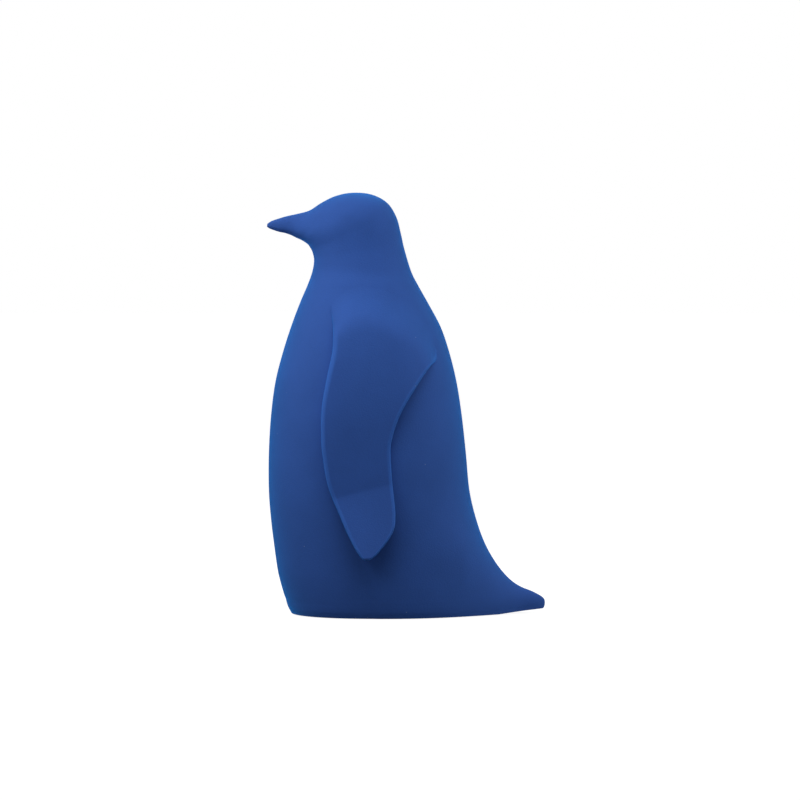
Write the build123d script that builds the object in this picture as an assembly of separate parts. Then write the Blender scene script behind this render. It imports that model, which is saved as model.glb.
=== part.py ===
from build123d import *
from dataclasses import dataclass
from math import atan2, cos, degrees, hypot, pi, sqrt
import os

# Overall size of the standing penguin, in millimetres. It faces -X, and its own left side is -Y.
height = 200.0  # table to crown
length = 132.0  # beak tip to tail tip
body_width = 92.0  # across the belly, without the flippers
head_width = 40.0  # across the cheeks

# Tail, a fin that stands out behind the body
tail_root_width = 15.0
tail_tip_width = 8.0
tail_end_round = 9.0  # length of its rounded end, seen from above
tail_lift = 1.9  # underside of its tip above the rim

# Body shells
wall = 2.5
pin_radius = 2.0
pin_length = 12.0
pin_boss_wall = 2.0
pin_clearance = 0.05

# Flippers
flipper_lift = 2.5  # flat outer face beyond the widest place of the body
flare = 8.5  # how much further out the tip stands
shoulder_bulge = 7.0  # shoulder above the body, where it is fullest
shoulder_step = 0.6  # the same where it runs out
shoulder_softness = 4.0  # ease from the flat face into the shoulder
face_lean = 4.4  # how far the face has leaned inwards at the shoulder
blade_thickness = 3.2  # of the free tip
trailing_thickness = 2.6  # of the edge that stands off the body
leading_round = 1.8
upper_leading_round = 2.2
trailing_round = 1.2
edge_land = 0.6  # inner face below the rounded edges, at least
seat_gap = 0.15  # joint line between flipper and body
root_depth = 3.0  # flipper's section below the body's surface, before it is cut to its seat
peg_radius = 2.5
peg_depth = 5.0  # peg below the body's surface
peg_root = 1.5  # peg inside the flipper
peg_clearance = 0.1
peg_socket_wall = 1.8

# Base plate and its rubber pads
plate_thickness = 3.0
plate_recess = 0.4  # underside of the plate above the rim
plate_gap = 0.3  # all round the plate
pad_radius = 5.0
pad_thickness = 2.0
pad_pocket = 1.0
pad_clearance = 0.15
pad_inset = 8.0  # from the plate's edge

# Screws, all of one kind but for their length
screw_radius = 1.5
screw_head_radius = 2.8
screw_head_height = 1.6
screw_socket_width = 2.0  # across the flats
screw_socket_depth = 0.9
screw_clearance = 0.1
counterbore_clearance = 0.4
counterbore_depth = 1.7
base_screw_length = 11.0
ballast_screw_length = 9.0
screw_boss_radius = 4.0
screw_boss_height = 14.0
screw_boss_inset = 6.5  # from the hollow's wall
screw_boss_web = 2.4

# Ballast
ballast_thickness = 14.0
ballast_margin = 12.5  # from the hollow's wall
ballast_chamfer = 1.5

overrun = 1.0  # cutters pass their faces by this much
outline_steps = 18  # steps round one side of a station
standing = (Align.CENTER, Align.CENTER, Align.MIN)

# Stations of the body: level, front and rear as shares of height and length, half width as a share of its own
body_shares = (
    (0.000, -0.414, 0.484, 0.920),
    (0.012, -0.424, 0.497, 0.937),
    (0.023, -0.430, 0.500, 0.945),
    (0.031, -0.433, 0.497, 0.949),
    (0.037, -0.436, 0.488, 0.952),
    (0.044, -0.440, 0.470, 0.954),
    (0.051, -0.443, 0.448, 0.957),
    (0.060, -0.447, 0.414, 0.960),
    (0.074, -0.453, 0.381, 0.964),
    (0.096, -0.461, 0.348, 0.969),
    (0.125, -0.468, 0.316, 0.975),
    (0.165, -0.476, 0.283, 0.983),
    (0.220, -0.486, 0.253, 0.991),
    (0.290, -0.494, 0.228, 0.998),
    (0.380, -0.494, 0.215, 0.998),
    (0.470, -0.486, 0.200, 0.974),
    (0.550, -0.470, 0.181, 0.926),
    (0.620, -0.443, 0.155, 0.862),
    (0.680, -0.414, 0.124, 0.780),
    (0.735, -0.383, 0.080, 0.675),
    (0.780, -0.354, 0.042, 0.575),
    (0.812, -0.337, 0.018, 0.500),
)
# Widest place of a station: its share of length at the rim, and how far it leans forward up to the crown
widest_share = -0.092
widest_lean_share = -0.083
# Place where the body has run into the tail, and the levels over which tail turns into back
haunch_share = 0.470
tail_fade_shares = (0.10, 0.26)
# Station and level of the tail's tip, above which it narrows to its ridge
tail_tip_station = 2
tail_dome_share = 0.015
# Place where the tail's underside leaves the table
tail_lift_share = 0.333
# Roundness of the stations: front, then back and flank. A circle is 2.
front_roundness = 2.3
back_roundness = (2.05, 2.05)
haunch_roundness = (2.2, 0.72)
tail_roundness = 2.2

# Stations of the head and beak, which fan out forwards: front x and z, rear x and z, half width, widest place
head_shares = (
    (-0.331, 0.838, -0.006, 0.864, 1.04, 0.51),
    (-0.335, 0.854, -0.019, 0.902, 1.00, 0.53),
    (-0.340, 0.863, -0.035, 0.941, 0.98, 0.56),
    (-0.346, 0.870, -0.068, 0.975, 0.96, 0.58),
    (-0.353, 0.876, -0.125, 0.995, 0.89, 0.58),
    (-0.365, 0.882, -0.194, 0.999, 0.75, 0.57),
    (-0.378, 0.887, -0.255, 0.991, 0.58, 0.55),
    (-0.395, 0.892, -0.307, 0.974, 0.43, 0.53),
    (-0.413, 0.898, -0.347, 0.957, 0.31, 0.52),
    (-0.435, 0.903, -0.390, 0.949, 0.22, 0.50),
    (-0.457, 0.906, -0.431, 0.943, 0.165, 0.50),
    (-0.476, 0.910, -0.466, 0.936, 0.115, 0.50),
    (-0.491, 0.914, -0.486, 0.931, 0.08, 0.50),
    (-0.500, 0.918, -0.499, 0.925, 0.04, 0.50),
)
head_roundness = (2.5, 2.0, 2.0)

# The hollow stops at the tail's root and behind the face, so tail and beak are solid
tail_root_share = 0.300
hollow_roundness = (2.2, 1.2)
hollow_top_share = 0.22
hollow_head_stations = 8

# Places of the pins, as a station of the body and a side of the mid-plane
pin_places = ((12, "front"), (16, "front"), (12, "rear"), (16, "rear"), (20, "rear"))

# Outline of a flipper, seen from the side: level, leading and trailing edge
flipper_shares = (
    (0.141, -0.146, -0.136),
    (0.145, -0.155, -0.124),
    (0.155, -0.167, -0.105),
    (0.168, -0.180, -0.088),
    (0.189, -0.197, -0.063),
    (0.214, -0.215, -0.043),
    (0.246, -0.236, -0.038),
    (0.285, -0.261, -0.043),
    (0.325, -0.281, -0.050),
    (0.391, -0.297, -0.056),
    (0.424, -0.300, -0.050),
    (0.470, -0.301, -0.028),
    (0.510, -0.296, 0.003),
    (0.545, -0.287, 0.036),
    (0.575, -0.278, 0.066),
    (0.593, -0.272, 0.088),
    (0.607, -0.267, 0.108),
    (0.630, -0.261, 0.110),
    (0.660, -0.258, 0.098),
    (0.695, -0.260, 0.074),
    (0.725, -0.268, 0.040),
    (0.752, -0.272, 0.000),
    (0.772, -0.245, -0.050),
    (0.784, -0.200, -0.100),
    (0.789, -0.160, -0.140),
)
# Line where the shoulder runs into the body: place along the body and level
shoulder_shares = (
    (-0.310, 0.700),
    (-0.285, 0.730),
    (-0.220, 0.778),
    (-0.110, 0.787),
    (0.005, 0.755),
    (0.080, 0.694),
    (0.112, 0.625),
    (0.130, 0.560),
)
shoulder_rise_share = 0.125  # below that line, the shoulder is at its fullest
# Levels over which the face starts to lean inwards
face_lean_shares = (0.45, 0.66)
# Line where the tip bends outwards: its level, and how far it leans along the body
bend_share = 0.327
bend_lean_share = 0.164
bend_power = 1.15
# Levels between which the blade comes free of the body, the edge turns rounder and the notch closes
free_shares = (0.27, 0.38)
round_shares = (0.48, 0.63)
notch_shares = (0.57, 0.62)
trailing_wedge_share = 0.6  # growth of the trailing edge's thickness with the way in from it
edge_round_share = 0.4  # most of the flipper's width that one rounded edge takes
face_turn_shares = (0.25, 0.5, 0.75)
peg_shares = ((-0.130, 0.640), (-0.170, 0.490))
flipper_first_station = 8

# Places round the base, as shares of the half turn from front to rear
base_screw_turn_shares = (0.33, 0.70)
pad_turn_shares = (0.17, 0.84)
ballast_screw_shares = (0.30, 0.70)

rim = pad_thickness - pad_pocket - plate_recess
body_height = height - rim
plate_bottom = rim + plate_recess
plate_top = plate_bottom + plate_thickness
# Ridge of back and tail, from the tip upwards: place along the body, counted forwards, and level
ridge_shares = [(-rear_share, level) for level, _, rear_share, _ in body_shares[tail_tip_station:]]
counterbore_radius = screw_head_radius + counterbore_clearance
screw_hole_radius = screw_radius + screw_clearance


@dataclass
class Station:
    """One outline of the body or head, between a front and a rear point of the mid-plane."""

    front: Vector
    rear: Vector
    half_width: float
    widest: float  # as a share of the way from front to rear
    roundness: tuple
    level: float = 1.0
    tail_amount: float = 0.0


def clamp(value):
    """Value held between 0 and 1."""
    return min(max(value, 0.0), 1.0)


def ease(value):
    """Smooth step from 0 to 1."""
    value = clamp(value)
    return value**2 * (3 - 2 * value)


def swell(value):
    """Smoother step from 0 to 1, which leaves no line where it starts."""
    value = clamp(value)
    return value**3 * (10 - 15 * value + 6 * value**2)


def mix(low, high, share):
    """Value between two others."""
    return low + (high - low) * share


def soft_min(first, second, softness):
    """Lesser of two values, eased where they are close."""
    share = clamp((1 + (second - first) / softness) / 2)
    return mix(second, first, share) - softness * share * (1 - share)


def smooth_row(rows, place):
    """Cubic through the rows of a table, where a place counts rows and may lie between two."""
    last = len(rows) - 1
    first = min(int(place), last - 1)
    t = place - first
    neighbours = (rows[min(max(first + step, 0), last)] for step in (-1, 0, 1, 2))
    return [
        b + t * ((c - a) + t * ((2 * a - 5 * b + 4 * c - d) + t * (3 * b - a - 3 * c + d))) / 2
        for a, b, c, d in zip(*neighbours)
    ]


def row_at(rows, value):
    """The smooth row of a table whose first entry has a value."""
    low, high = 0.0, len(rows) - 1.0
    while high - low > 1e-6:
        middle = (low + high) / 2
        if smooth_row(rows, middle)[0] < value:
            low = middle
        else:
            high = middle
    return smooth_row(rows, low)


def station_reach(share, station):
    """Half width of a station at a share of the way from its front to its rear."""
    front_power, rear_power, flank_power = station.roundness
    if share < station.widest:
        along = (station.widest - share) / station.widest
        return station.half_width * (1 - along**front_power) ** (1 / front_power)
    along = clamp((share - station.widest) / (1 - station.widest))
    back = station.half_width * (1 - along**rear_power) ** (1 / flank_power)
    if not station.tail_amount:
        return back
    return mix(back, tail_reach(share, station), station.tail_amount)


def tail_reach(share, station):
    """Half width of a low station: body and tail as they stand on the table, domed up to the ridge."""
    rear_power, flank_power = haunch_roundness
    x = mix(station.front.X, station.rear.X, share)
    widest_x = mix(station.front.X, station.rear.X, station.widest)
    along = clamp((x - widest_x) / (haunch_share * length - widest_x))
    haunch = station.half_width * (1 - along**rear_power) ** (1 / flank_power)
    root_x = tail_root_share * length
    tip_share = clamp((x - root_x) / (length / 2 - root_x))
    end_share = clamp(1 - (length / 2 - x) / tail_end_round)
    fin = mix(tail_root_width, tail_tip_width, tip_share) / 2 * sqrt(1 - end_share**2)
    _, ridge_level = row_at(ridge_shares, -x / length)
    rise = clamp((station.level - tail_dome_share) / (ridge_level - tail_dome_share))
    return hypot(haunch, fin) * sqrt(1 - rise**tail_roundness)


def outline_point(turn, station):
    """Point of a station's left side, for a turn from 0 at the front to 1 at the rear."""
    front_power = station.roundness[0]
    along = -cos(pi * turn)
    if along < 0:
        share = station.widest * (1 - (-along) ** (2 / front_power))
    else:
        share = mix(station.widest, 1.0, along)
    spine = station.front + (station.rear - station.front) * share
    reach = 0.0 if turn in (0, 1) else station_reach(share, station)
    return Vector(spine.X, -reach, spine.Z)


def body_station(row, offset):
    """Body station that is grown by an offset. A shrunken one has no tail."""
    level, front_share, rear_share, width_share = row
    z = rim + level * body_height
    front_x = front_share * length - offset
    rear_x = rear_share * length + offset
    tail_low, tail_high = tail_fade_shares
    tail_amount = 1 - ease((level - tail_low) / (tail_high - tail_low))
    powers = back_roundness
    if offset < 0:
        rear_x = min(rear_x, tail_root_share * length + wall + offset)
        tail_amount = 0.0
        rise = ease(level / hollow_top_share)
        powers = [mix(low, high, rise) for low, high in zip(hollow_roundness, back_roundness)]
    widest_x = (widest_share + widest_lean_share * level) * length
    return Station(
        Vector(front_x, 0, z),
        Vector(rear_x, 0, z),
        width_share * body_width / 2 + offset,
        (widest_x - front_x) / (rear_x - front_x),
        (front_roundness, *powers),
        level,
        tail_amount,
    )


def head_station(row, offset):
    """Head station that is grown by an offset."""
    front_x, front_z, rear_x, rear_z, width_share, widest = row
    front = Vector(front_x * length, 0, rim + front_z * body_height)
    rear = Vector(rear_x * length, 0, rim + rear_z * body_height)
    reach = (rear - front).normalized() * offset
    half_width = width_share * head_width / 2 + offset
    return Station(front - reach, rear + reach, half_width, widest, head_roundness)


def outline(station):
    """Left side of a station, from front to rear."""
    return [outline_point(step / outline_steps, station) for step in range(outline_steps + 1)]


def edge_between(face, start, end):
    """The edge of a face that runs between two of its corners."""

    def distance(edge):
        first, last = edge @ 0, edge @ 1
        forward = (first - start).length + (last - end).length
        backward = (first - end).length + (last - start).length
        return min(forward, backward)

    return min(face.edges(), key=distance)


def half_solid(outlines):
    """Left half of a form: a skin through the outlines, closed at both ends and on the mid-plane."""
    skin = Shell.make_loft([Wire([Edge.make_spline(points)]) for points in outlines]).face()
    low_front, low_rear = outlines[0][0], outlines[0][-1]
    high_front, high_rear = outlines[-1][0], outlines[-1][-1]
    low_line = Edge.make_line(low_front, low_rear)
    high_line = Edge.make_line(high_front, high_rear)
    low_end = Face(Wire([edge_between(skin, low_front, low_rear), low_line]))
    high_end = Face(Wire([edge_between(skin, high_front, high_rear), high_line]))
    front_line = edge_between(skin, low_front, high_front)
    rear_line = edge_between(skin, low_rear, high_rear)
    middle = Face(Wire([front_line, high_line, rear_line, low_line]))
    return Solid(Shell([skin, middle, low_end, high_end]))


def body_half(offset, first_station=0):
    """Left half of the body alone, grown by an offset."""
    return half_solid([outline(body_station(row, offset)) for row in body_shares[first_station:]])


def whole_half(offset, head_rows, foot=0.0):
    """Left half of body and head, with its foot drawn down by some length."""
    outlines = [outline(body_station(row, offset)) for row in body_shares]
    if foot:
        outlines.insert(0, [point - Vector(0, 0, foot) for point in outlines[0]])
    outlines += [outline(head_station(row, offset)) for row in head_rows]
    return half_solid(outlines)


def tail_clearance():
    """Wedge of air under the tail."""
    start, end = tail_lift_share * length, length / 2
    slope = tail_lift / (end - start)
    far = end + overrun
    corners = (
        (start, rim),
        (far, rim + slope * (far - start)),
        (far, rim - overrun),
        (start - overrun, rim - overrun),
        (start - overrun, rim - slope * overrun),
    )
    side = Face(Wire.make_polygon([Vector(x, 0, z) for x, z in corners]))
    return extrude(side, body_width, dir=(0, -1, 0), both=True)


def base_point(turn, inset):
    """Place on the hollow's outline at the rim, moved inwards by an inset."""
    point = outline_point(turn, body_station(body_shares[0], -wall - inset))
    return Vector(point.X, point.Y, 0)


def base_face(inset):
    """Face of the hollow's outline at the rim, both sides, moved inwards by an inset."""
    turns = [step / outline_steps for step in range(outline_steps + 1)]
    left = [base_point(turn, inset) for turn in turns]
    right = [Vector(point.X, -point.Y, 0) for point in left]
    return Face(Wire([Edge.make_spline(left), Edge.make_spline(right)]))


def side_peg(place, radius):
    """Rod across the body's left half, at a place seen from the side."""
    x, z = place[0] * length, rim + place[1] * body_height
    return Pos(x, 0, z) * Rot(90, 0, 0) * Cylinder(radius, body_width, align=standing)


def upright(point, bottom, radius, tall):
    """Upright rod that stands at a place of the base."""
    return Pos(point.X, point.Y, bottom) * Cylinder(radius, tall, align=standing)


def pin_place(station, side):
    """Centre of a locating pin, clear of the wall on one side of the mid-plane."""
    inside = body_station(body_shares[station], -wall - pin_radius)
    return inside.front if side == "front" else inside.rear


def screw_boss(turn):
    """Boss for a base screw, with a web that ties it to the shell's wall."""
    centre = base_point(turn, screw_boss_inset)
    outside = base_point(turn, -wall - screw_boss_radius)
    reach = outside - centre
    lying = (Align.MIN, Align.CENTER, Align.MIN)
    web = Box(reach.length, screw_boss_web, screw_boss_height, align=lying)
    turned = Rot(0, 0, degrees(atan2(reach.Y, reach.X))) * web
    boss = upright(centre, plate_top, screw_boss_radius, screw_boss_height)
    return boss + Pos(centre.X, centre.Y, plate_top) * turned


def left_shell():
    """Left half of the hollow body, with its bosses, sockets and holes."""
    boss_radius = pin_radius + pin_boss_wall
    pin_depth = pin_length / 2 + pin_clearance
    bore_radius = peg_radius + peg_clearance
    socket_floor = body_half(-peg_depth - wall, flipper_first_station)
    bore_floor = body_half(-peg_depth - peg_clearance, flipper_first_station)
    bosses = [screw_boss(turn) for turn in base_screw_turn_shares]
    holes = [tail_clearance()]
    for turn in base_screw_turn_shares:
        centre = base_point(turn, screw_boss_inset)
        holes.append(upright(centre, plate_top - overrun, screw_hole_radius, screw_boss_height))
    for station, side in pin_places:
        centre = pin_place(station, side)
        turned = Pos(centre.X, 0, centre.Z) * Rot(90, 0, 0)
        bosses.append(turned * Cylinder(boss_radius, pin_depth + wall, align=standing))
        holes.append(turned * Cylinder(pin_radius + pin_clearance, 2 * pin_depth))
    for place in peg_shares:
        bosses.append(side_peg(place, bore_radius + peg_socket_wall) - socket_floor)
        holes.append(side_peg(place, bore_radius) - bore_floor)
    hollow = whole_half(-wall, head_shares[:hollow_head_stations], foot=overrun) - bosses
    return whole_half(0.0, head_shares) - hollow - holes


def body_reach(level, x):
    """Half width of the body at a level and a place along it."""
    station = body_station(row_at(body_shares, level), 0.0)
    share = (x - station.front.X) / (station.rear.X - station.front.X)
    return station_reach(share, station)


def face_reach(level, x):
    """Outer face of a flipper from the mid-plane: flat, flared at the tip and rounded at the shoulder."""
    tip = flipper_shares[0][0]
    bend = bend_share + bend_lean_share * x / length
    flared = flare * max((bend - level) / (bend - tip), 0.0) ** bend_power
    lean_low, lean_high = face_lean_shares
    lean = face_lean * max((level - lean_low) / (lean_high - lean_low), 0.0) ** 2
    flat = body_width / 2 + flipper_lift - lean
    _, shoulder_level = row_at(shoulder_shares, x / length)
    risen = swell((shoulder_level - level) / shoulder_rise_share)
    shoulder = body_reach(level, x) + mix(shoulder_step, shoulder_bulge, risen)
    return soft_min(flat, shoulder, shoulder_softness) + flared


def inner_reach(level, x, trailing_x):
    """Inner face of a flipper from the mid-plane. Where it is seated, that lies inside the body."""
    seated = body_reach(level, x) - root_depth
    face = face_reach(level, x)
    free_low, free_high = free_shares
    notch_low, notch_high = notch_shares
    depth = face - seated
    blade = mix(blade_thickness, depth, ease((level - free_low) / (free_high - free_low)))
    edge = trailing_thickness + trailing_wedge_share * (trailing_x - x)
    edge = mix(edge, depth, ease((level - notch_low) / (notch_high - notch_low)))
    return max(seated, face - min(blade, max(edge, 0.0)))


def flipper_section(row):
    """Closed outline of a flipper at a level: outer face with round edges, and inner face."""
    level, leading_share, trailing_share = row
    leading, trailing = leading_share * length, trailing_share * length
    z = rim + level * body_height
    most = edge_round_share * (trailing - leading)
    low, high = round_shares
    upper = ease((level - low) / (high - low))
    front_round = min(mix(leading_round, upper_leading_round, upper), most)
    rear_round = min(trailing_round, most)
    corner = 1 - cos(pi / 4)
    face_start, face_end = leading + front_round, trailing - rear_round
    places = [(leading, front_round), (leading + corner * front_round, corner * front_round)]
    places += [(mix(face_start, face_end, turn), 0.0) for turn in (0.0, *face_turn_shares, 1.0)]
    places += [(trailing - corner * rear_round, corner * rear_round), (trailing, rear_round)]
    outer = [Vector(x, depth - face_reach(level, x), z) for x, depth in places]
    inner = []
    for turn in (0.0, *face_turn_shares, 1.0):
        x = mix(trailing, leading, turn)
        face = face_reach(level, x)
        least = mix(rear_round, front_round, turn) + min(edge_land, most)
        thickness = max(face - inner_reach(level, x, trailing), least)
        inner.append(Vector(x, thickness - face, z))
    return Wire([
        Edge.make_spline(outer),
        Edge.make_line(outer[-1], inner[0]),
        Edge.make_spline(inner),
        Edge.make_line(inner[-1], outer[0]),
    ])


def left_flipper():
    """Left flipper: a loft of its sections, cut to its seat on the body, with the pegs that hold it."""
    blade = Solid.make_loft([flipper_section(row) for row in flipper_shares])
    flipper = blade - body_half(seat_gap, flipper_first_station)
    peg_top = body_half(peg_root, flipper_first_station)
    peg_floor = body_half(-peg_depth, flipper_first_station)
    for place in peg_shares:
        flipper += (side_peg(place, peg_radius) & peg_top) - peg_floor
    return flipper


def screw(head_point, head_bottom, shank_length):
    """Upright screw, head down, with a six-sided socket."""
    head = upright(head_point, head_bottom, screw_head_radius, screw_head_height)
    shank = upright(head_point, head_bottom + screw_head_height, screw_radius, shank_length)
    socket = extrude(RegularPolygon(screw_socket_width / 2, 6, major_radius=False), screw_socket_depth)
    return head + shank - Pos(head_point.X, head_point.Y, head_bottom) * socket


def on_both_sides(points):
    """The points and their mirror images across the mid-plane."""
    return [Vector(point.X, side * point.Y, 0) for point in points for side in (1, -1)]


def ballast_screw_points():
    """Places of the ballast screws, on the mid-line of the weight."""
    front, rear = base_point(0.0, ballast_margin), base_point(1.0, ballast_margin)
    return [front + (rear - front) * share for share in ballast_screw_shares]


def group(solids):
    """Separate solids that share one node."""
    return Compound([item.solid() for item in solids])


base_screw_points = on_both_sides([base_point(turn, screw_boss_inset) for turn in base_screw_turn_shares])
pad_points = on_both_sides([base_point(turn, pad_inset) for turn in pad_turn_shares])
head_bottom = plate_bottom + counterbore_depth - screw_head_height

# Base plate with pockets for the pads and counterbored holes for the screws
plate = Pos(0, 0, plate_bottom) * extrude(base_face(plate_gap), plate_thickness)
for point in base_screw_points + ballast_screw_points():
    plate -= upright(point, plate_bottom - overrun, screw_hole_radius, plate_thickness + 2 * overrun)
    plate -= upright(point, plate_bottom - overrun, counterbore_radius, counterbore_depth + overrun)
for point in pad_points:
    plate -= upright(point, plate_bottom - overrun, pad_radius + pad_clearance, pad_pocket + overrun)

# Cast weight that stands on the plate
ballast = Pos(0, 0, plate_top) * extrude(base_face(ballast_margin), ballast_thickness)
ballast = chamfer(ballast.faces().sort_by(Axis.Z)[-1].edges(), ballast_chamfer)
for point in ballast_screw_points():
    ballast -= upright(point, plate_top - overrun, screw_hole_radius, ballast_screw_length)

pins = []
for station, side in pin_places:
    centre = pin_place(station, side)
    pins.append(Pos(centre.X, 0, centre.Z) * Rot(90, 0, 0) * Cylinder(pin_radius, pin_length))

left_body = left_shell()
left_wing = left_flipper()
base_screws = [screw(point, head_bottom, base_screw_length) for point in base_screw_points]
ballast_screws = [screw(point, head_bottom, ballast_screw_length) for point in ballast_screw_points()]
foot_pads = [upright(point, 0, pad_radius, pad_thickness) for point in pad_points]
nodes = {
    "left_body_shell": left_body,
    "right_body_shell": mirror(left_body, about=Plane.XZ),
    "left_flipper": left_wing,
    "right_flipper": mirror(left_wing, about=Plane.XZ),
    "base_plate": plate,
    "ballast_weight": ballast,
    "base_screws": group(base_screws),
    "ballast_screws": group(ballast_screws),
    "foot_pads": group(foot_pads),
    "locating_pins": group(pins),
}

os.makedirs("parts", exist_ok=True)
for name, node in nodes.items():
    export_step(node, f"parts/{name}.step")
    print(name, len(node.solids()), round(node.volume))
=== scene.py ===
import bpy
import bmesh
from math import cos, hypot, pi, radians, sin, sqrt
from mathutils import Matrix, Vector


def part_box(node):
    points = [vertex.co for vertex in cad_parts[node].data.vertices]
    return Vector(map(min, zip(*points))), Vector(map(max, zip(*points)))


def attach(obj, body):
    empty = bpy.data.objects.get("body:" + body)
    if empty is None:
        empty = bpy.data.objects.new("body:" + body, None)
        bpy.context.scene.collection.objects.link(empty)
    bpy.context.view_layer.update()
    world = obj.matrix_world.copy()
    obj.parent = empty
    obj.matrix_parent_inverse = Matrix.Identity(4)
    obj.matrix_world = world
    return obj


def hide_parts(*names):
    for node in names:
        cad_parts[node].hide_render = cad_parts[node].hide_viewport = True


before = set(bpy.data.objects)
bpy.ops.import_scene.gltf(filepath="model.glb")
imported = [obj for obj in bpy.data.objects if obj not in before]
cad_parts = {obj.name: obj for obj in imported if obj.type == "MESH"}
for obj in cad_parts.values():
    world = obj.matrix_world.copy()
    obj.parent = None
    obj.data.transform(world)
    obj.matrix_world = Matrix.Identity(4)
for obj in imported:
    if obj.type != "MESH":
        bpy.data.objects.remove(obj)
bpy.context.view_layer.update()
print("frame loaded:", sorted(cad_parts))

shellLow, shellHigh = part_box("left_body_shell")
mm = 0.001
crownLevel = 0.9995  # top of the crown, as a share of the height

# body and head, as the solids have them: everything below is a share of these sizes
body = {
    "length": shellHigh.x - shellLow.x,
    "height": (shellHigh.z - shellLow.z) / crownLevel,
    "rim": shellLow.z,
    "halfWidth": -shellLow.y,
    "headHalfWidth": 20 * mm,
    "wall": 2.5 * mm,
    "aroundSteps": 104,
    "ringsPerStation": 5,
    "sharpAngle": 40,
    "cutTolerance": 0.001 * mm,
    # level, front, rear, half width
    "stations": (
        (0.000, -0.414, 0.484, 0.920),
        (0.012, -0.424, 0.497, 0.937),
        (0.023, -0.430, 0.500, 0.945),
        (0.031, -0.433, 0.497, 0.949),
        (0.037, -0.436, 0.488, 0.952),
        (0.044, -0.440, 0.470, 0.954),
        (0.051, -0.443, 0.448, 0.957),
        (0.060, -0.447, 0.414, 0.960),
        (0.074, -0.453, 0.381, 0.964),
        (0.096, -0.461, 0.348, 0.969),
        (0.125, -0.468, 0.316, 0.975),
        (0.165, -0.476, 0.283, 0.983),
        (0.220, -0.486, 0.253, 0.991),
        (0.290, -0.494, 0.228, 0.998),
        (0.380, -0.494, 0.215, 0.998),
        (0.470, -0.486, 0.200, 0.974),
        (0.550, -0.470, 0.181, 0.926),
        (0.620, -0.443, 0.155, 0.862),
        (0.680, -0.414, 0.124, 0.780),
        (0.735, -0.383, 0.080, 0.675),
        (0.780, -0.354, 0.042, 0.575),
        (0.812, -0.337, 0.018, 0.500),
    ),
    "widest": -0.092,
    "widestLean": -0.083,
    "frontRound": 2.3,
    "backRound": (2.05, 2.05),
    "hollowRound": (2.2, 1.2),
    "hollowTop": 0.22,
    # front x and z, rear x and z, half width, widest place
    "headStations": (
        (-0.331, 0.838, -0.006, 0.864, 1.04, 0.51),
        (-0.335, 0.854, -0.019, 0.902, 1.00, 0.53),
        (-0.340, 0.863, -0.035, 0.941, 0.98, 0.56),
        (-0.346, 0.870, -0.068, 0.975, 0.96, 0.58),
        (-0.353, 0.876, -0.125, 0.995, 0.89, 0.58),
        (-0.365, 0.882, -0.194, 0.999, 0.75, 0.57),
        (-0.378, 0.887, -0.255, 0.991, 0.58, 0.55),
        (-0.395, 0.892, -0.307, 0.974, 0.43, 0.53),
        (-0.413, 0.898, -0.347, 0.957, 0.31, 0.52),
        (-0.435, 0.903, -0.390, 0.949, 0.22, 0.50),
        (-0.457, 0.906, -0.431, 0.943, 0.165, 0.50),
        (-0.476, 0.910, -0.466, 0.936, 0.115, 0.50),
        (-0.491, 0.914, -0.486, 0.931, 0.08, 0.50),
        (-0.500, 0.918, -0.499, 0.925, 0.04, 0.50),
    ),
    "headRound": (2.5, 2.0, 2.0),
    "hollowHead": 8,
}

# tail: the body runs out into a fin that is domed up to its ridge and lifted off the table at its tip
tail = {
    "haunch": 0.470,
    "haunchRound": (2.2, 0.72),
    "domeFrom": 0.015,
    "domeRound": 2.2,
    "root": 0.300,
    "rootHalf": 7.5 * mm,
    "tipHalf": 4.0 * mm,
    "endRound": 9.0 * mm,
    "fade": (0.10, 0.26),
    "liftFrom": 0.333,
    "lift": 1.9 * mm,
    # from the tip upwards: place along the body, counted forwards, and level
    "ridge": [(-rear, level) for level, _, rear, _ in body["stations"][2:]],
}


def clamp(value):
    return min(max(value, 0.0), 1.0)


def ease(value):
    value = clamp(value)
    return value * value * (3 - 2 * value)


def swell(value):
    # smoother step, which leaves no line where it starts
    value = clamp(value)
    return value ** 3 * (10 - 15 * value + 6 * value ** 2)


def mix(low, high, share):
    return low + (high - low) * share


def softMin(first, second, softness):
    share = clamp(0.5 + 0.5 * (second - first) / softness)
    return mix(second, first, share) - softness * share * (1 - share)


def smoothRow(rows, place):
    # cubic through the rows of a table, place counts rows and may lie between two
    last = len(rows) - 1
    first = min(int(place), last - 1)
    t = place - first
    near = [rows[min(max(first + step, 0), last)] for step in (-1, 0, 1, 2)]
    return [
        q + t * ((r - p) + t * ((2 * p - 5 * q + 4 * r - s) + t * (3 * q - p - 3 * r + s))) / 2
        for p, q, r, s in zip(*near)
    ]


halvings = 24  # steps of the search below


def rowAt(rows, column, value):
    # the smooth row where a rising column has that value
    low, high = 0.0, len(rows) - 1.0
    for step in range(halvings):
        middle = (low + high) / 2
        if smoothRow(rows, middle)[column] < value:
            low = middle
        else:
            high = middle
    return smoothRow(rows, (low + high) / 2)


def bodyStation(row, offset):
    # front x and z, rear x and z, half width, widest place, three powers, level, tail amount
    level, front, rear, width = row
    length = body["length"]
    z = body["rim"] + level * body["height"]
    frontX = front * length - offset
    rearX = rear * length + offset
    fadeLow, fadeHigh = tail["fade"]
    amount = 1 - ease((level - fadeLow) / (fadeHigh - fadeLow))
    powers = body["backRound"]
    if offset < 0:
        rearX = min(rearX, tail["root"] * length)
        amount = 0.0
        rise = ease(level / body["hollowTop"])
        powers = [mix(low, high, rise) for low, high in zip(body["hollowRound"], body["backRound"])]
    widestX = (body["widest"] + body["widestLean"] * level) * length
    widest = (widestX - frontX) / (rearX - frontX)
    halfWidth = width * body["halfWidth"] + offset
    return [frontX, z, rearX, z, halfWidth, widest, body["frontRound"], *powers, level, amount]


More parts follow.
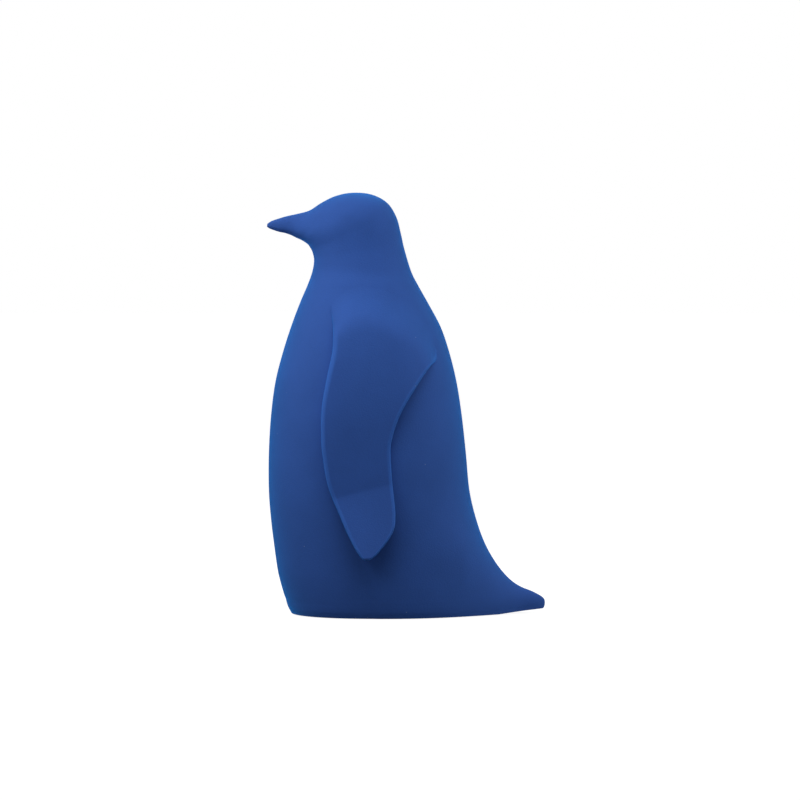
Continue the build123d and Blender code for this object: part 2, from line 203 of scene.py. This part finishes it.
def headStation(row, offset):
    frontX, frontZ, rearX, rearZ, width, widest = row
    front = Vector((frontX * body["length"], 0, body["rim"] + frontZ * body["height"]))
    rear = Vector((rearX * body["length"], 0, body["rim"] + rearZ * body["height"]))
    reach = (rear - front).normalized() * offset
    front -= reach
    rear += reach
    halfWidth = width * body["headHalfWidth"] + offset
    return [front.x, front.z, rear.x, rear.z, halfWidth, widest, *body["headRound"], rearZ, 0.0]


def stationReach(station, share):
    # half width at a share of the way from front to rear
    halfWidth, widest, frontPower, rearPower, flankPower, _, amount = station[4:]
    if share < widest:
        along = clamp((widest - share) / widest)
        return halfWidth * (1 - along ** frontPower) ** (1 / frontPower)
    along = clamp((share - widest) / (1 - widest))
    back = halfWidth * (1 - along ** rearPower) ** (1 / flankPower)
    return mix(back, tailReach(station, share), amount) if amount > 0 else back


def tailReach(station, share):
    # low down: body and tail as they stand on the table, domed up to the ridge
    frontX, _, rearX, _, halfWidth, widest = station[:6]
    length = body["length"]
    rearPower, flankPower = tail["haunchRound"]
    x, widestX = mix(frontX, rearX, share), mix(frontX, rearX, widest)
    along = clamp((x - widestX) / (tail["haunch"] * length - widestX))
    haunch = halfWidth * (1 - along ** rearPower) ** (1 / flankPower)
    toTip = clamp((x / length - tail["root"]) / (0.5 - tail["root"]))
    toEnd = clamp(1 - (length / 2 - x) / tail["endRound"])
    fin = mix(tail["rootHalf"], tail["tipHalf"], toTip) * sqrt(1 - toEnd ** 2)
    ridgeLevel = rowAt(tail["ridge"], 0, -x / length)[1]
    rise = clamp((station[9] - tail["domeFrom"]) / (ridgeLevel - tail["domeFrom"]))
    return hypot(haunch, fin) * sqrt(1 - rise ** tail["domeRound"])


def ringAt(station, steps):
    # points round a station, from the front over the left side to the rear and back
    frontX, frontZ, rearX, rearZ = station[:4]
    widest, frontPower = station[5:7]
    ring = []
    for step in range(steps):
        along = -cos(2 * pi * step / steps)
        side = -1 if step < steps / 2 else 1
        if along < 0:
            share = widest * (1 - (-along) ** (2 / frontPower))
        else:
            share = mix(widest, 1.0, along)
        reach = stationReach(station, share) if step not in (0, steps // 2) else 0.0
        ring.append(Vector((mix(frontX, rearX, share), side * reach, mix(frontZ, rearZ, share))))
    return ring


def allStations(offset, headCount):
    rows = [bodyStation(row, offset) for row in body["stations"]]
    return rows + [headStation(row, offset) for row in body["headStations"][:headCount]]


outerStations = allStations(0.0, len(body["headStations"]))


def bodyReach(station, x):
    frontX, rearX = station[0], station[2]
    return stationReach(station, clamp((x - frontX) / (rearX - frontX)))


def loftRings(bm, rings):
    # a circle, extruded from ring to ring, with both ends left open
    seat = bm.verts.layers.int.get("seat") or bm.verts.layers.int.new("seat")
    verts = bmesh.ops.create_circle(bm, segments=len(rings[0]), radius=1.0)["verts"]
    for index, vert in enumerate(verts):
        vert[seat] = index
        vert.co = rings[0][index]
    edges = list({edge for vert in verts for edge in vert.link_edges})
    firstEdges = edges
    for ring in rings[1:]:
        made = bmesh.ops.extrude_edge_only(bm, edges=edges)["geom"]
        verts = [item for item in made if isinstance(item, bmesh.types.BMVert)]
        for vert in verts:
            vert.co = ring[vert[seat]]
        fresh = set(verts)
        edges = [
            item for item in made
            if isinstance(item, bmesh.types.BMEdge) and item.verts[0] in fresh and item.verts[1] in fresh
        ]
    return firstEdges, edges


def meshPiece(name, bm, material, sharpAngle):
    bmesh.ops.recalc_face_normals(bm, faces=bm.faces)
    if bm.calc_volume(signed=True) < 0:
        bmesh.ops.reverse_faces(bm, faces=bm.faces)
    mesh = bpy.data.meshes.new(name)
    for face in bm.faces:
        face.smooth = True
    bm.to_mesh(mesh)
    bm.free()
    mesh.set_sharp_from_angle(angle=radians(sharpAngle))
    mesh.materials.append(material)
    piece = bpy.data.objects.new(name, mesh)
    bpy.context.scene.collection.objects.link(piece)
    return piece


def skinRings(stations):
    count = (len(stations) - 1) * body["ringsPerStation"]
    places = [step / body["ringsPerStation"] for step in range(count + 1)]
    return [ringAt(smoothRow(stations, place), body["aroundSteps"]) for place in places]


def cutBy(bm, point, normal):
    # keeps what lies in front of a plane and closes the opening
    geom = bm.verts[:] + bm.edges[:] + bm.faces[:]
    bmesh.ops.bisect_plane(
        bm, geom=geom, dist=body["cutTolerance"], plane_co=point, plane_no=normal, clear_inner=True
    )
    openEdges = [edge for edge in bm.edges if edge.is_boundary]
    bmesh.ops.triangle_fill(bm, use_beauty=True, edges=openEdges)


def bodyShell(name, side, material):
    # outer skin down to the rim and inner wall up from it, then the tail's underside and the mid-plane
    bm = bmesh.new()
    rings = skinRings(outerStations)[::-1] + skinRings(allStations(-body["wall"], body["hollowHead"]))
    tipEdges, topEdges = loftRings(bm, rings)
    bmesh.ops.edgeloop_fill(bm, edges=tipEdges)
    bmesh.ops.edgeloop_fill(bm, edges=topEdges)
    liftX = tail["liftFrom"] * body["length"]
    slope = tail["lift"] / (body["length"] / 2 - liftX)
    cutBy(bm, (liftX, 0, body["rim"]), (-slope, 0, 1))
    cutBy(bm, (0, 0, 0), (0, side, 0))
    return meshPiece(name, bm, material, body["sharpAngle"])


# lights, camera and floor
stage = {
    "photoPixels": 800,
    "metresPerPixel": 0.475 * mm,
    "originPixel": (406.15, 613.3),
    "elevation": 2.3,
    "distance": 2.5,
    "sensor": 36.0,
    "floorSize": 12.0,
    "floorSeen": (0.25, 0.25, 0.25, 1),
    "floorBounce": (0.15, 0.15, 0.15, 1),
    "floorGlow": (0.93, 1.0),
    "shadowReach": (0.10, 0.30),
    "skyColour": (0.9, 0.95, 1.0, 1),
    "skyStrength": 0.03,
    # name, place, width and height, power
    "lights": (
        ("frontSoftbox", (0.0, -0.30, 0.50), (0.30, 0.30), 0.98),
        ("headFill", (-0.16, -0.20, 0.20), (0.10, 0.10), 0.12),
        ("frontRightSoftbox", (0.35, -0.35, 0.45), (0.30, 0.30), 0.50),
        ("leftSoftbox", (-0.55, -0.05, 0.30), (0.40, 0.50), 0.46),
        ("rightSoftbox", (0.54, 0.02, 0.31), (0.40, 0.50), 1.50),
        ("highLeftSoftbox", (-0.45, -0.05, 0.50), (0.35, 0.35), 1.60),
        ("backTopSoftbox", (0.0, 0.50, 0.55), (0.50, 0.50), 0.60),
    ),
    "lightTarget": (0, 0, 0.1),
}


def makeCamera():
    bpy.context.scene.view_settings.view_transform = "Standard"
    lift = radians(stage["elevation"])
    half = stage["photoPixels"] / 2
    across = (half - stage["originPixel"][0]) * stage["metresPerPixel"]
    up = (stage["originPixel"][1] - half) * stage["metresPerPixel"] / cos(lift)
    target = Vector((across, 0, up))
    back = Vector((0, -cos(lift), sin(lift)))
    data = bpy.data.cameras.new("camera")
    data.sensor_width = stage["sensor"]
    data.lens = stage["sensor"] * stage["distance"] / (stage["photoPixels"] * stage["metresPerPixel"])
    camera = bpy.data.objects.new("camera", data)
    camera.location = target + back * stage["distance"]
    camera.rotation_euler = (-back).to_track_quat("-Z", "Y").to_euler()
    bpy.context.scene.collection.objects.link(camera)
    bpy.context.scene.camera = camera


def makeLights():
    target = Vector(stage["lightTarget"])
    for name, place, size, power in stage["lights"]:
        data = bpy.data.lights.new(name, "AREA")
        data.shape = "RECTANGLE"
        data.size, data.size_y = size
        data.energy = power
        lamp = bpy.data.objects.new(name, data)
        lamp.location = place
        lamp.rotation_euler = (target - Vector(place)).to_track_quat("-Z", "Y").to_euler()
        lamp.visible_camera = False
        bpy.context.scene.collection.objects.link(lamp)


def node(tree, kind, **values):
    made = tree.nodes.new(kind)
    for key, value in values.items():
        setattr(made, key, value)
    return made


def link(tree, source, target):
    tree.links.new(source, target)


def whiteToCamera(tree):
    # 1 where the background shows white: to the camera, in reflections and through glass
    path = node(tree, "ShaderNodeLightPath")
    first = node(tree, "ShaderNodeMath", operation="MAXIMUM")
    second = node(tree, "ShaderNodeMath", operation="MAXIMUM")
    link(tree, path.outputs["Is Camera Ray"], first.inputs[0])
    link(tree, path.outputs["Is Glossy Ray"], first.inputs[1])
    link(tree, first.outputs[0], second.inputs[0])
    link(tree, path.outputs["Is Transmission Ray"], second.inputs[1])
    return second.outputs[0]


def makeWorld():
    world = bpy.data.worlds.new("studio")
    bpy.context.scene.world = world
    world.use_nodes = True
    tree = world.node_tree
    tree.nodes.clear()
    soft = node(tree, "ShaderNodeBackground")
    soft.inputs["Color"].default_value = stage["skyColour"]
    soft.inputs["Strength"].default_value = stage["skyStrength"]
    white = node(tree, "ShaderNodeBackground")
    white.inputs["Color"].default_value = (1, 1, 1, 1)
    white.inputs["Strength"].default_value = 1.0
    both = node(tree, "ShaderNodeMixShader")
    output = node(tree, "ShaderNodeOutputWorld")
    link(tree, whiteToCamera(tree), both.inputs[0])
    link(tree, soft.outputs[0], both.inputs[1])
    link(tree, white.outputs[0], both.inputs[2])
    link(tree, both.outputs[0], output.inputs["Surface"])


def makeFloor():
    bm = bmesh.new()
    bmesh.ops.create_grid(bm, x_segments=2, y_segments=2, size=stage["floorSize"] / 2)
    mesh = bpy.data.meshes.new("floor")
    bm.to_mesh(mesh)
    bm.free()
    floor = bpy.data.objects.new("floor", mesh)
    bpy.context.scene.collection.objects.link(floor)
    material = bpy.data.materials.new("paleFloor")
    material.use_nodes = True
    tree = material.node_tree
    tree.nodes.clear()
    dull = node(tree, "ShaderNodeBsdfDiffuse")
    dull.inputs["Color"].default_value = stage["floorBounce"]
    pale = node(tree, "ShaderNodeBsdfDiffuse")
    pale.inputs["Color"].default_value = stage["floorSeen"]
    # plain white further away, so that no horizon shows
    coords = node(tree, "ShaderNodeTexCoord")
    distance = node(tree, "ShaderNodeVectorMath", operation="LENGTH")
    fade = node(tree, "ShaderNodeMapRange", interpolation_type="SMOOTHSTEP")
    fade.inputs["From Min"].default_value, fade.inputs["From Max"].default_value = stage["shadowReach"]
    fade.inputs["To Min"].default_value, fade.inputs["To Max"].default_value = stage["floorGlow"]
    glow = node(tree, "ShaderNodeEmission")
    seen = node(tree, "ShaderNodeAddShader")
    both = node(tree, "ShaderNodeMixShader")
    output = node(tree, "ShaderNodeOutputMaterial")
    link(tree, coords.outputs["Object"], distance.inputs[0])
    link(tree, distance.outputs["Value"], fade.inputs["Value"])
    link(tree, fade.outputs[0], glow.inputs["Strength"])
    link(tree, pale.outputs[0], seen.inputs[0])
    link(tree, glow.outputs[0], seen.inputs[1])
    link(tree, whiteToCamera(tree), both.inputs[0])
    link(tree, dull.outputs[0], both.inputs[1])
    link(tree, seen.outputs[0], both.inputs[2])
    link(tree, both.outputs[0], output.inputs["Surface"])
    mesh.materials.append(material)


# effects that several finishes share
noiseDetail = 3.0
noiseRange = (0.3, 0.7)  # where nearly all of the noise lies


def addSockets(group, direction, kind, names):
    for name in names:
        group.interface.new_socket(name, in_out=direction, socket_type=kind)


def makeGrain():
    # fine and broad noise, which shade a colour and give a height
    group = bpy.data.node_groups.new("grain", "ShaderNodeTree")
    addSockets(group, "INPUT", "NodeSocketVector", ["Vector"])
    addSockets(group, "INPUT", "NodeSocketColor", ["Colour"])
    addSockets(group, "INPUT", "NodeSocketFloat", ["Fine", "Broad", "Amount"])
    addSockets(group, "OUTPUT", "NodeSocketColor", ["Colour"])
    addSockets(group, "OUTPUT", "NodeSocketFloat", ["Height"])
    entry = node(group, "NodeGroupInput")
    leave = node(group, "NodeGroupOutput")
    fine = node(group, "ShaderNodeTexNoise")
    broad = node(group, "ShaderNodeTexNoise")
    for noise, name in ((fine, "Fine"), (broad, "Broad")):
        noise.inputs["Detail"].default_value = noiseDetail
        link(group, entry.outputs["Vector"], noise.inputs["Vector"])
        link(group, entry.outputs[name], noise.inputs["Scale"])
    both = node(group, "ShaderNodeMath", operation="ADD")
    swing = node(group, "ShaderNodeMath", operation="SUBTRACT")
    swing.inputs[1].default_value = 1.0
    shade = node(group, "ShaderNodeMath", operation="MULTIPLY_ADD")
    shade.inputs[2].default_value = 1.0
    tint = node(group, "ShaderNodeVectorMath", operation="SCALE")
    link(group, fine.outputs[0], both.inputs[0])
    link(group, broad.outputs[0], both.inputs[1])
    link(group, both.outputs[0], swing.inputs[0])
    link(group, swing.outputs[0], shade.inputs[0])
    link(group, entry.outputs["Amount"], shade.inputs[1])
    link(group, entry.outputs["Colour"], tint.inputs[0])
    link(group, shade.outputs[0], tint.inputs["Scale"])
    link(group, tint.outputs["Vector"], leave.inputs["Colour"])
    link(group, fine.outputs[0], leave.inputs["Height"])
    return group


def makeSpecks():
    # a few small round specks, such as lint, rust or dust
    group = bpy.data.node_groups.new("specks", "ShaderNodeTree")
    addSockets(group, "INPUT", "NodeSocketVector", ["Vector"])
    addSockets(group, "INPUT", "NodeSocketFloat", ["Scale", "Size", "Share"])
    addSockets(group, "OUTPUT", "NodeSocketFloat", ["Mask"])
    entry = node(group, "NodeGroupInput")
    leave = node(group, "NodeGroupOutput")
    cells = node(group, "ShaderNodeTexVoronoi")
    near = node(group, "ShaderNodeMapRange", interpolation_type="SMOOTHSTEP")
    near.inputs["From Min"].default_value = 0.0
    near.inputs["To Min"].default_value, near.inputs["To Max"].default_value = (1.0, 0.0)
    parts = node(group, "ShaderNodeSeparateColor")
    pick = node(group, "ShaderNodeMath", operation="LESS_THAN")
    mask = node(group, "ShaderNodeMath", operation="MULTIPLY")
    link(group, entry.outputs["Vector"], cells.inputs["Vector"])
    link(group, entry.outputs["Scale"], cells.inputs["Scale"])
    link(group, cells.outputs["Distance"], near.inputs["Value"])
    link(group, entry.outputs["Size"], near.inputs["From Max"])
    link(group, cells.outputs["Color"], parts.inputs[0])
    link(group, parts.outputs[0], pick.inputs[0])
    link(group, entry.outputs["Share"], pick.inputs[1])
    link(group, near.outputs[0], mask.inputs[0])
    link(group, pick.outputs[0], mask.inputs[1])
    link(group, mask.outputs[0], leave.inputs["Mask"])
    return group


def makeFinish(name, look, grain, specks):
    material = bpy.data.materials.new(name)
    material.use_nodes = True
    tree = material.node_tree
    shader = tree.nodes["Principled BSDF"]
    for socket, value in look["shader"].items():
        shader.inputs[socket].default_value = value
    coords = node(tree, "ShaderNodeTexCoord")
    place = node(tree, "ShaderNodeMapping")
    place.inputs["Scale"].default_value = look["stretch"]
    shade = node(tree, "ShaderNodeGroup", node_tree=grain)
    shade.inputs["Colour"].default_value = look["colour"]
    shade.inputs["Fine"].default_value, shade.inputs["Broad"].default_value = look["grainScales"]
    shade.inputs["Amount"].default_value = look["grainAmount"]
    dots = node(tree, "ShaderNodeGroup", node_tree=specks)
    for socket, value in zip(("Scale", "Size", "Share"), look["specks"]):
        dots.inputs[socket].default_value = value
    dotted = node(tree, "ShaderNodeMix", data_type="RGBA")
    dotted.inputs["B"].default_value = look["speckColour"]
    rough = node(tree, "ShaderNodeMapRange")
    rough.inputs["From Min"].default_value, rough.inputs["From Max"].default_value = noiseRange
    rough.inputs["To Min"].default_value, rough.inputs["To Max"].default_value = look["roughness"]
    bump = node(tree, "ShaderNodeBump")
    bump.inputs["Strength"].default_value, bump.inputs["Distance"].default_value = look["bump"]
    link(tree, coords.outputs["Object"], place.inputs["Vector"])
    link(tree, place.outputs[0], shade.inputs["Vector"])
    link(tree, coords.outputs["Object"], dots.inputs["Vector"])
    link(tree, dots.outputs["Mask"], dotted.inputs["Factor"])
    shaded = shade.outputs["Colour"]
    # painted highlight: the edge attribute blends a lighter colour in along the flippers' rounded edges
    if "edgeHighlightColour" in look:
        edge = node(tree, "ShaderNodeAttribute", attribute_name="edge")
        highlighted = node(tree, "ShaderNodeMix", data_type="RGBA")
        highlighted.inputs["B"].default_value = look["edgeHighlightColour"]
        link(tree, edge.outputs["Fac"], highlighted.inputs["Factor"])
        link(tree, shaded, highlighted.inputs["A"])
        shaded = highlighted.outputs["Result"]
    link(tree, shaded, dotted.inputs["A"])
    link(tree, dotted.outputs["Result"], shader.inputs["Base Color"])
    link(tree, shade.outputs["Height"], rough.inputs["Value"])
    link(tree, rough.outputs[0], shader.inputs["Roughness"])
    link(tree, shade.outputs["Height"], bump.inputs["Height"])
    link(tree, bump.outputs[0], shader.inputs["Normal"])
    return material


# flock: short fibres on the moulded blue body, with a little pale lint
flock = {
    "colour": (0.025, 0.081, 0.325, 1),
    # painted highlight: a lighter blue along the flippers' rounded edges
    "edgeHighlightColour": (0.029, 0.105, 0.41, 1),
    "shader": {
        "Specular IOR Level": 0.2,
        "Sheen Weight": 0.8,
        "Sheen Roughness": 0.4,
        "Sheen Tint": (0.0, 0.31, 1.0, 1),
    },
    "stretch": (1, 1, 1),
    "grainScales": (1500.0, 55.0),
    "grainAmount": 0.22,
    "roughness": (0.80, 0.92),
    "bump": (0.35, 0.25 * mm),
    "specks": (230.0, 0.085, 0.05),
    "speckColour": (0.16, 0.24, 0.42, 1),
}

# moulded plastic of the base plate, finely grained
platePlastic = {
    "colour": (0.015, 0.040, 0.150, 1),
    "shader": {"Specular IOR Level": 0.4},
    "stretch": (1, 1, 1),
    "grainScales": (1100.0, 60.0),
    "grainAmount": 0.30,
    "roughness": (0.45, 0.62),
    "bump": (0.30, 0.15 * mm),
    "specks": (260.0, 0.09, 0.10),
    "speckColour": (0.12, 0.14, 0.18, 1),
}

# the weight, as cast, with a little rust
castIron = {
    "colour": (0.16, 0.16, 0.17, 1),
    "shader": {"Metallic": 0.8},
    "stretch": (1, 1, 1),
    "grainScales": (420.0, 90.0),
    "grainAmount": 0.9,
    "roughness": (0.55, 0.80),
    "bump": (0.7, 0.6 * mm),
    "specks": (180.0, 0.30, 0.22),
    "speckColour": (0.16, 0.07, 0.03, 1),
}

# zinc plated steel of screws and pins, with drawn marks along X
zincSteel = {
    "colour": (0.60, 0.60, 0.60, 1),
    "shader": {"Metallic": 1.0},
    "stretch": (0.12, 1, 1),
    "grainScales": (2600.0, 240.0),
    "grainAmount": 0.25,
    "roughness": (0.26, 0.42),
    "bump": (0.12, 0.05 * mm),
    "specks": (500.0, 0.12, 0.06),
    "speckColour": (0.30, 0.29, 0.27, 1),
}

# rubber of the pads, with dust picked up from the table
padRubber = {
    "colour": (0.030, 0.030, 0.030, 1),
    "shader": {"Specular IOR Level": 0.35},
    "stretch": (1, 1, 1),
    "grainScales": (1400.0, 160.0),
    "grainAmount": 0.6,
    "roughness": (0.72, 0.90),
    "bump": (0.40, 0.20 * mm),
    "specks": (420.0, 0.14, 0.25),
    "speckColour": (0.16, 0.15, 0.14, 1),
}


# flippers: rings from tip to shoulder, a flat blade that grows out of the body
flipper = {
    # level, leading edge, trailing edge
    "outline": (
        (0.141, -0.146, -0.136),
        (0.145, -0.155, -0.124),
        (0.155, -0.167, -0.105),
        (0.168, -0.180, -0.088),
        (0.189, -0.197, -0.063),
        (0.214, -0.215, -0.043),
        (0.246, -0.236, -0.038),
        (0.285, -0.261, -0.043),
        (0.325, -0.281, -0.050),
        (0.391, -0.297, -0.056),
        (0.424, -0.300, -0.050),
        (0.470, -0.301, -0.028),
        (0.510, -0.296, 0.003),
        (0.545, -0.287, 0.036),
        (0.575, -0.278, 0.066),
        (0.593, -0.272, 0.088),
        (0.607, -0.267, 0.110),
        (0.630, -0.261, 0.118),
        (0.660, -0.259, 0.112),
        (0.695, -0.262, 0.090),
        (0.725, -0.272, 0.060),
        (0.752, -0.285, 0.022),
        (0.775, -0.262, -0.025),
        (0.790, -0.215, -0.080),
        (0.797, -0.170, -0.130),
    ),
    # level at which the shoulder runs into the body, at equal steps along the body
    "shoulderFrom": -0.310,
    "shoulderStep": 0.045,
    "shoulder": (0.700, 0.748, 0.778, 0.789, 0.789, 0.782, 0.770, 0.755, 0.724, 0.666, 0.530),
    "rise": 0.125,
    "bulge": 7.0 * mm,
    "softness": 4.0 * mm,
    "faceLean": 4.4 * mm,
    "leanFrom": (0.45, 0.66),
    "sink": 0.06 * mm,
    "dip": 0.1,  # slope at which the face sinks into the body above the shoulder
    "faceLift": 2.5 * mm,
    "flare": 8.5 * mm,
    "bend": 0.327,
    "bendLean": 0.164,
    "bendPower": 1.15,
    "blade": 3.2 * mm,
    "trailing": 2.6 * mm,
    "wedge": 0.6,
    "rootDepth": 0.8 * mm,
    "free": (0.27, 0.38),
    "notch": (0.57, 0.62),
    "leadRound": (1.5 * mm, 1.8 * mm),
    "leadTurn": (0.48, 0.63),
    "trailRound": 1.2 * mm,
    "innerRound": 0.9 * mm,
    "tipRound": 1.6 * mm,
    "faceSteps": 46,
    "leadSteps": 9,
    "trailSteps": 6,
    "rings": 160,
    "crowding": 0.6,  # how far the rings draw together at tip and shoulder
    "mostRound": 0.45,  # largest edge round, as a share of the width there
    "sharpAngle": 60,
    # painted highlight along its edges: how far in on the face, and the levels over which that ends at the
    # shoulder
    "highlightIn": 0.012,
    "highlightEnd": (0.70, 0.62),
}


def flipperSeats():
    # seats round a ring: outer face and inner face, each with a share along it, or an angle round its ends
    face = [step / (flipper["faceSteps"] - 1) for step in range(flipper["faceSteps"])]
    lead = [pi / 2 * step / flipper["leadSteps"] for step in range(flipper["leadSteps"])]
    trail = [pi / 2 * step / flipper["trailSteps"] for step in range(flipper["trailSteps"])]
    seats = [("outer", "lead", angle) for angle in lead]
    seats += [("outer", "face", share) for share in face]
    seats += [("outer", "trail", angle) for angle in reversed(trail)]
    seats += [("inner", "trail", angle) for angle in trail]
    seats += [("inner", "face", share) for share in reversed(face)]
    seats += [("inner", "lead", angle) for angle in reversed(trail)]
    return seats


def faceReach(station, level, x):
    # outer face from the mid-plane: flat, flared at the tip, rounded into the body at the shoulder
    share = x / body["length"]
    bend = flipper["bend"] + flipper["bendLean"] * share
    past = clamp((bend - level) / (bend - flipper["outline"][0][0]))
    flared = flipper["flare"] * past ** flipper["bendPower"]
    leanLow, leanHigh = flipper["leanFrom"]
    lean = flipper["faceLean"] * max((level - leanLow) / (leanHigh - leanLow), 0.0) ** 2
    flat = body["halfWidth"] + flipper["faceLift"] - lean
    rows = [(value,) for value in flipper["shoulder"]]
    place = min(max((share - flipper["shoulderFrom"]) / flipper["shoulderStep"], 0.0), len(rows) - 1.0)
    below = smoothRow(rows, place)[0] - level
    lift = flipper["bulge"] * swell(below / flipper["rise"]) - flipper["sink"]
    lift += flipper["dip"] * min(below, 0.0) * body["height"]
    return softMin(flat, bodyReach(station, x) + lift, flipper["softness"]) + flared


def innerReach(station, level, x, trail):
    seated = bodyReach(station, x) - flipper["rootDepth"]
    face = faceReach(station, level, x)
    freeLow, freeHigh = flipper["free"]
    notchLow, notchHigh = flipper["notch"]
    depth = max(face - seated, flipper["rootDepth"])
    blade = mix(flipper["blade"], depth, ease((level - freeLow) / (freeHigh - freeLow)))
    edge = flipper["trailing"] + flipper["wedge"] * (trail - x)
    edge = mix(edge, depth, ease((level - notchLow) / (notchHigh - notchLow)))
    return face - min(blade, edge, depth)


def flipperRing(level, seats):
    station = rowAt(outerStations, 1, body["rim"] + level * body["height"])
    _, lead, trail = rowAt(flipper["outline"], 0, level)
    lead, trail = lead * body["length"], trail * body["length"]
    most = flipper["mostRound"] * (trail - lead)
    turnLow, turnHigh = flipper["leadTurn"]
    leadRound = mix(*flipper["leadRound"], ease((level - turnLow) / (turnHigh - turnLow)))
    rounds = {
        ("outer", "lead"): min(leadRound, most),
        ("outer", "trail"): min(flipper["trailRound"], most),
        ("inner", "lead"): min(flipper["innerRound"], most),
        ("inner", "trail"): min(flipper["innerRound"], most),
    }
    tipRise = (level - flipper["outline"][0][0]) * body["height"]
    tipShare = sqrt(1 - max(1 - tipRise / flipper["tipRound"], 0.0) ** 2)
    z = body["rim"] + level * body["height"]
    ring = []
    for skin, part, value in seats:
        depth = 0.0
        if part == "face":
            x = mix(lead + rounds[skin, "lead"], trail - rounds[skin, "trail"], value)
        else:
            edgeRound = rounds[skin, part]
            inset = edgeRound * (1 - cos(value))
            x = lead + inset if part == "lead" else trail - inset
            depth = edgeRound * (1 - sin(value))
        face, inner = faceReach(station, level, x), innerReach(station, level, x, trail)
        middle = (face + inner) / 2
        reach = face - depth if skin == "outer" else inner + depth
        ring.append(Vector((x, -mix(middle, reach, tipShare), z)))
    return ring


def paintEdgeHighlights(bm, seats):
    # painted highlight mask, kept in the edge attribute: 1 on the rounded edges of the outer face, 0
    # elsewhere
    edge = bm.verts.layers.float.new("edge")
    seat = bm.verts.layers.int["seat"]
    endHigh, endLow = flipper["highlightEnd"]
    for vert in bm.verts:
        skin, part, value = seats[vert[seat]]
        level = (vert.co.z - body["rim"]) / body["height"]
        fromEdge = min(value, 1 - value) if part == "face" else 0.0
        pale = 1 - ease(fromEdge / flipper["highlightIn"]) if skin == "outer" else 0.0
        vert[edge] = pale * ease((endHigh - level) / (endHigh - endLow))


def makeFlipper(name, side, material):
    bm = bmesh.new()
    seats = flipperSeats()
    low, high = flipper["outline"][0][0], flipper["outline"][-1][0]
    count = flipper["rings"]
    shares = [mix(step / count, ease(step / count), flipper["crowding"]) for step in range(count + 1)]
    tipEdges, topEdges = loftRings(bm, [flipperRing(mix(low, high, share), seats) for share in shares])
    paintEdgeHighlights(bm, seats)
    bmesh.ops.edgeloop_fill(bm, edges=tipEdges)
    bmesh.ops.edgeloop_fill(bm, edges=topEdges)
    if side > 0:
        bmesh.ops.scale(bm, vec=(1, -1, 1), verts=bm.verts)
    return meshPiece(name, bm, material, flipper["sharpAngle"])


makeCamera()
makeLights()
makeWorld()
makeFloor()
print("stage made")

grain = makeGrain()
specks = makeSpecks()
flockBlue = makeFinish("blueFlock", flock, grain, specks)
platePaint = makeFinish("platePlastic", platePlastic, grain, specks)
ironCast = makeFinish("castIron", castIron, grain, specks)
steelZinc = makeFinish("zincSteel", zincSteel, grain, specks)
rubber = makeFinish("padRubber", padRubber, grain, specks)
print("finishes made")

# pieces that keep their CAD shape
keptNodes = {
    "base_plate": platePaint,
    "ballast_weight": ironCast,
    "base_screws": steelZinc,
    "ballast_screws": steelZinc,
    "locating_pins": steelZinc,
    "foot_pads": rubber,
}
for name, material in keptNodes.items():
    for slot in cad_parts[name].material_slots:
        slot.material = material

for name, side in (("left", -1), ("right", 1)):
    shell = bodyShell(name + "BodyShell", side, flockBlue)
    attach(shell, "root")
    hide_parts(name + "_body_shell")
    wing = makeFlipper(name + "Flipper", side, flockBlue)
    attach(wing, "root")
    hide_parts(name + "_flipper")
    print("made", shell.name, len(shell.data.polygons), wing.name, len(wing.data.polygons))
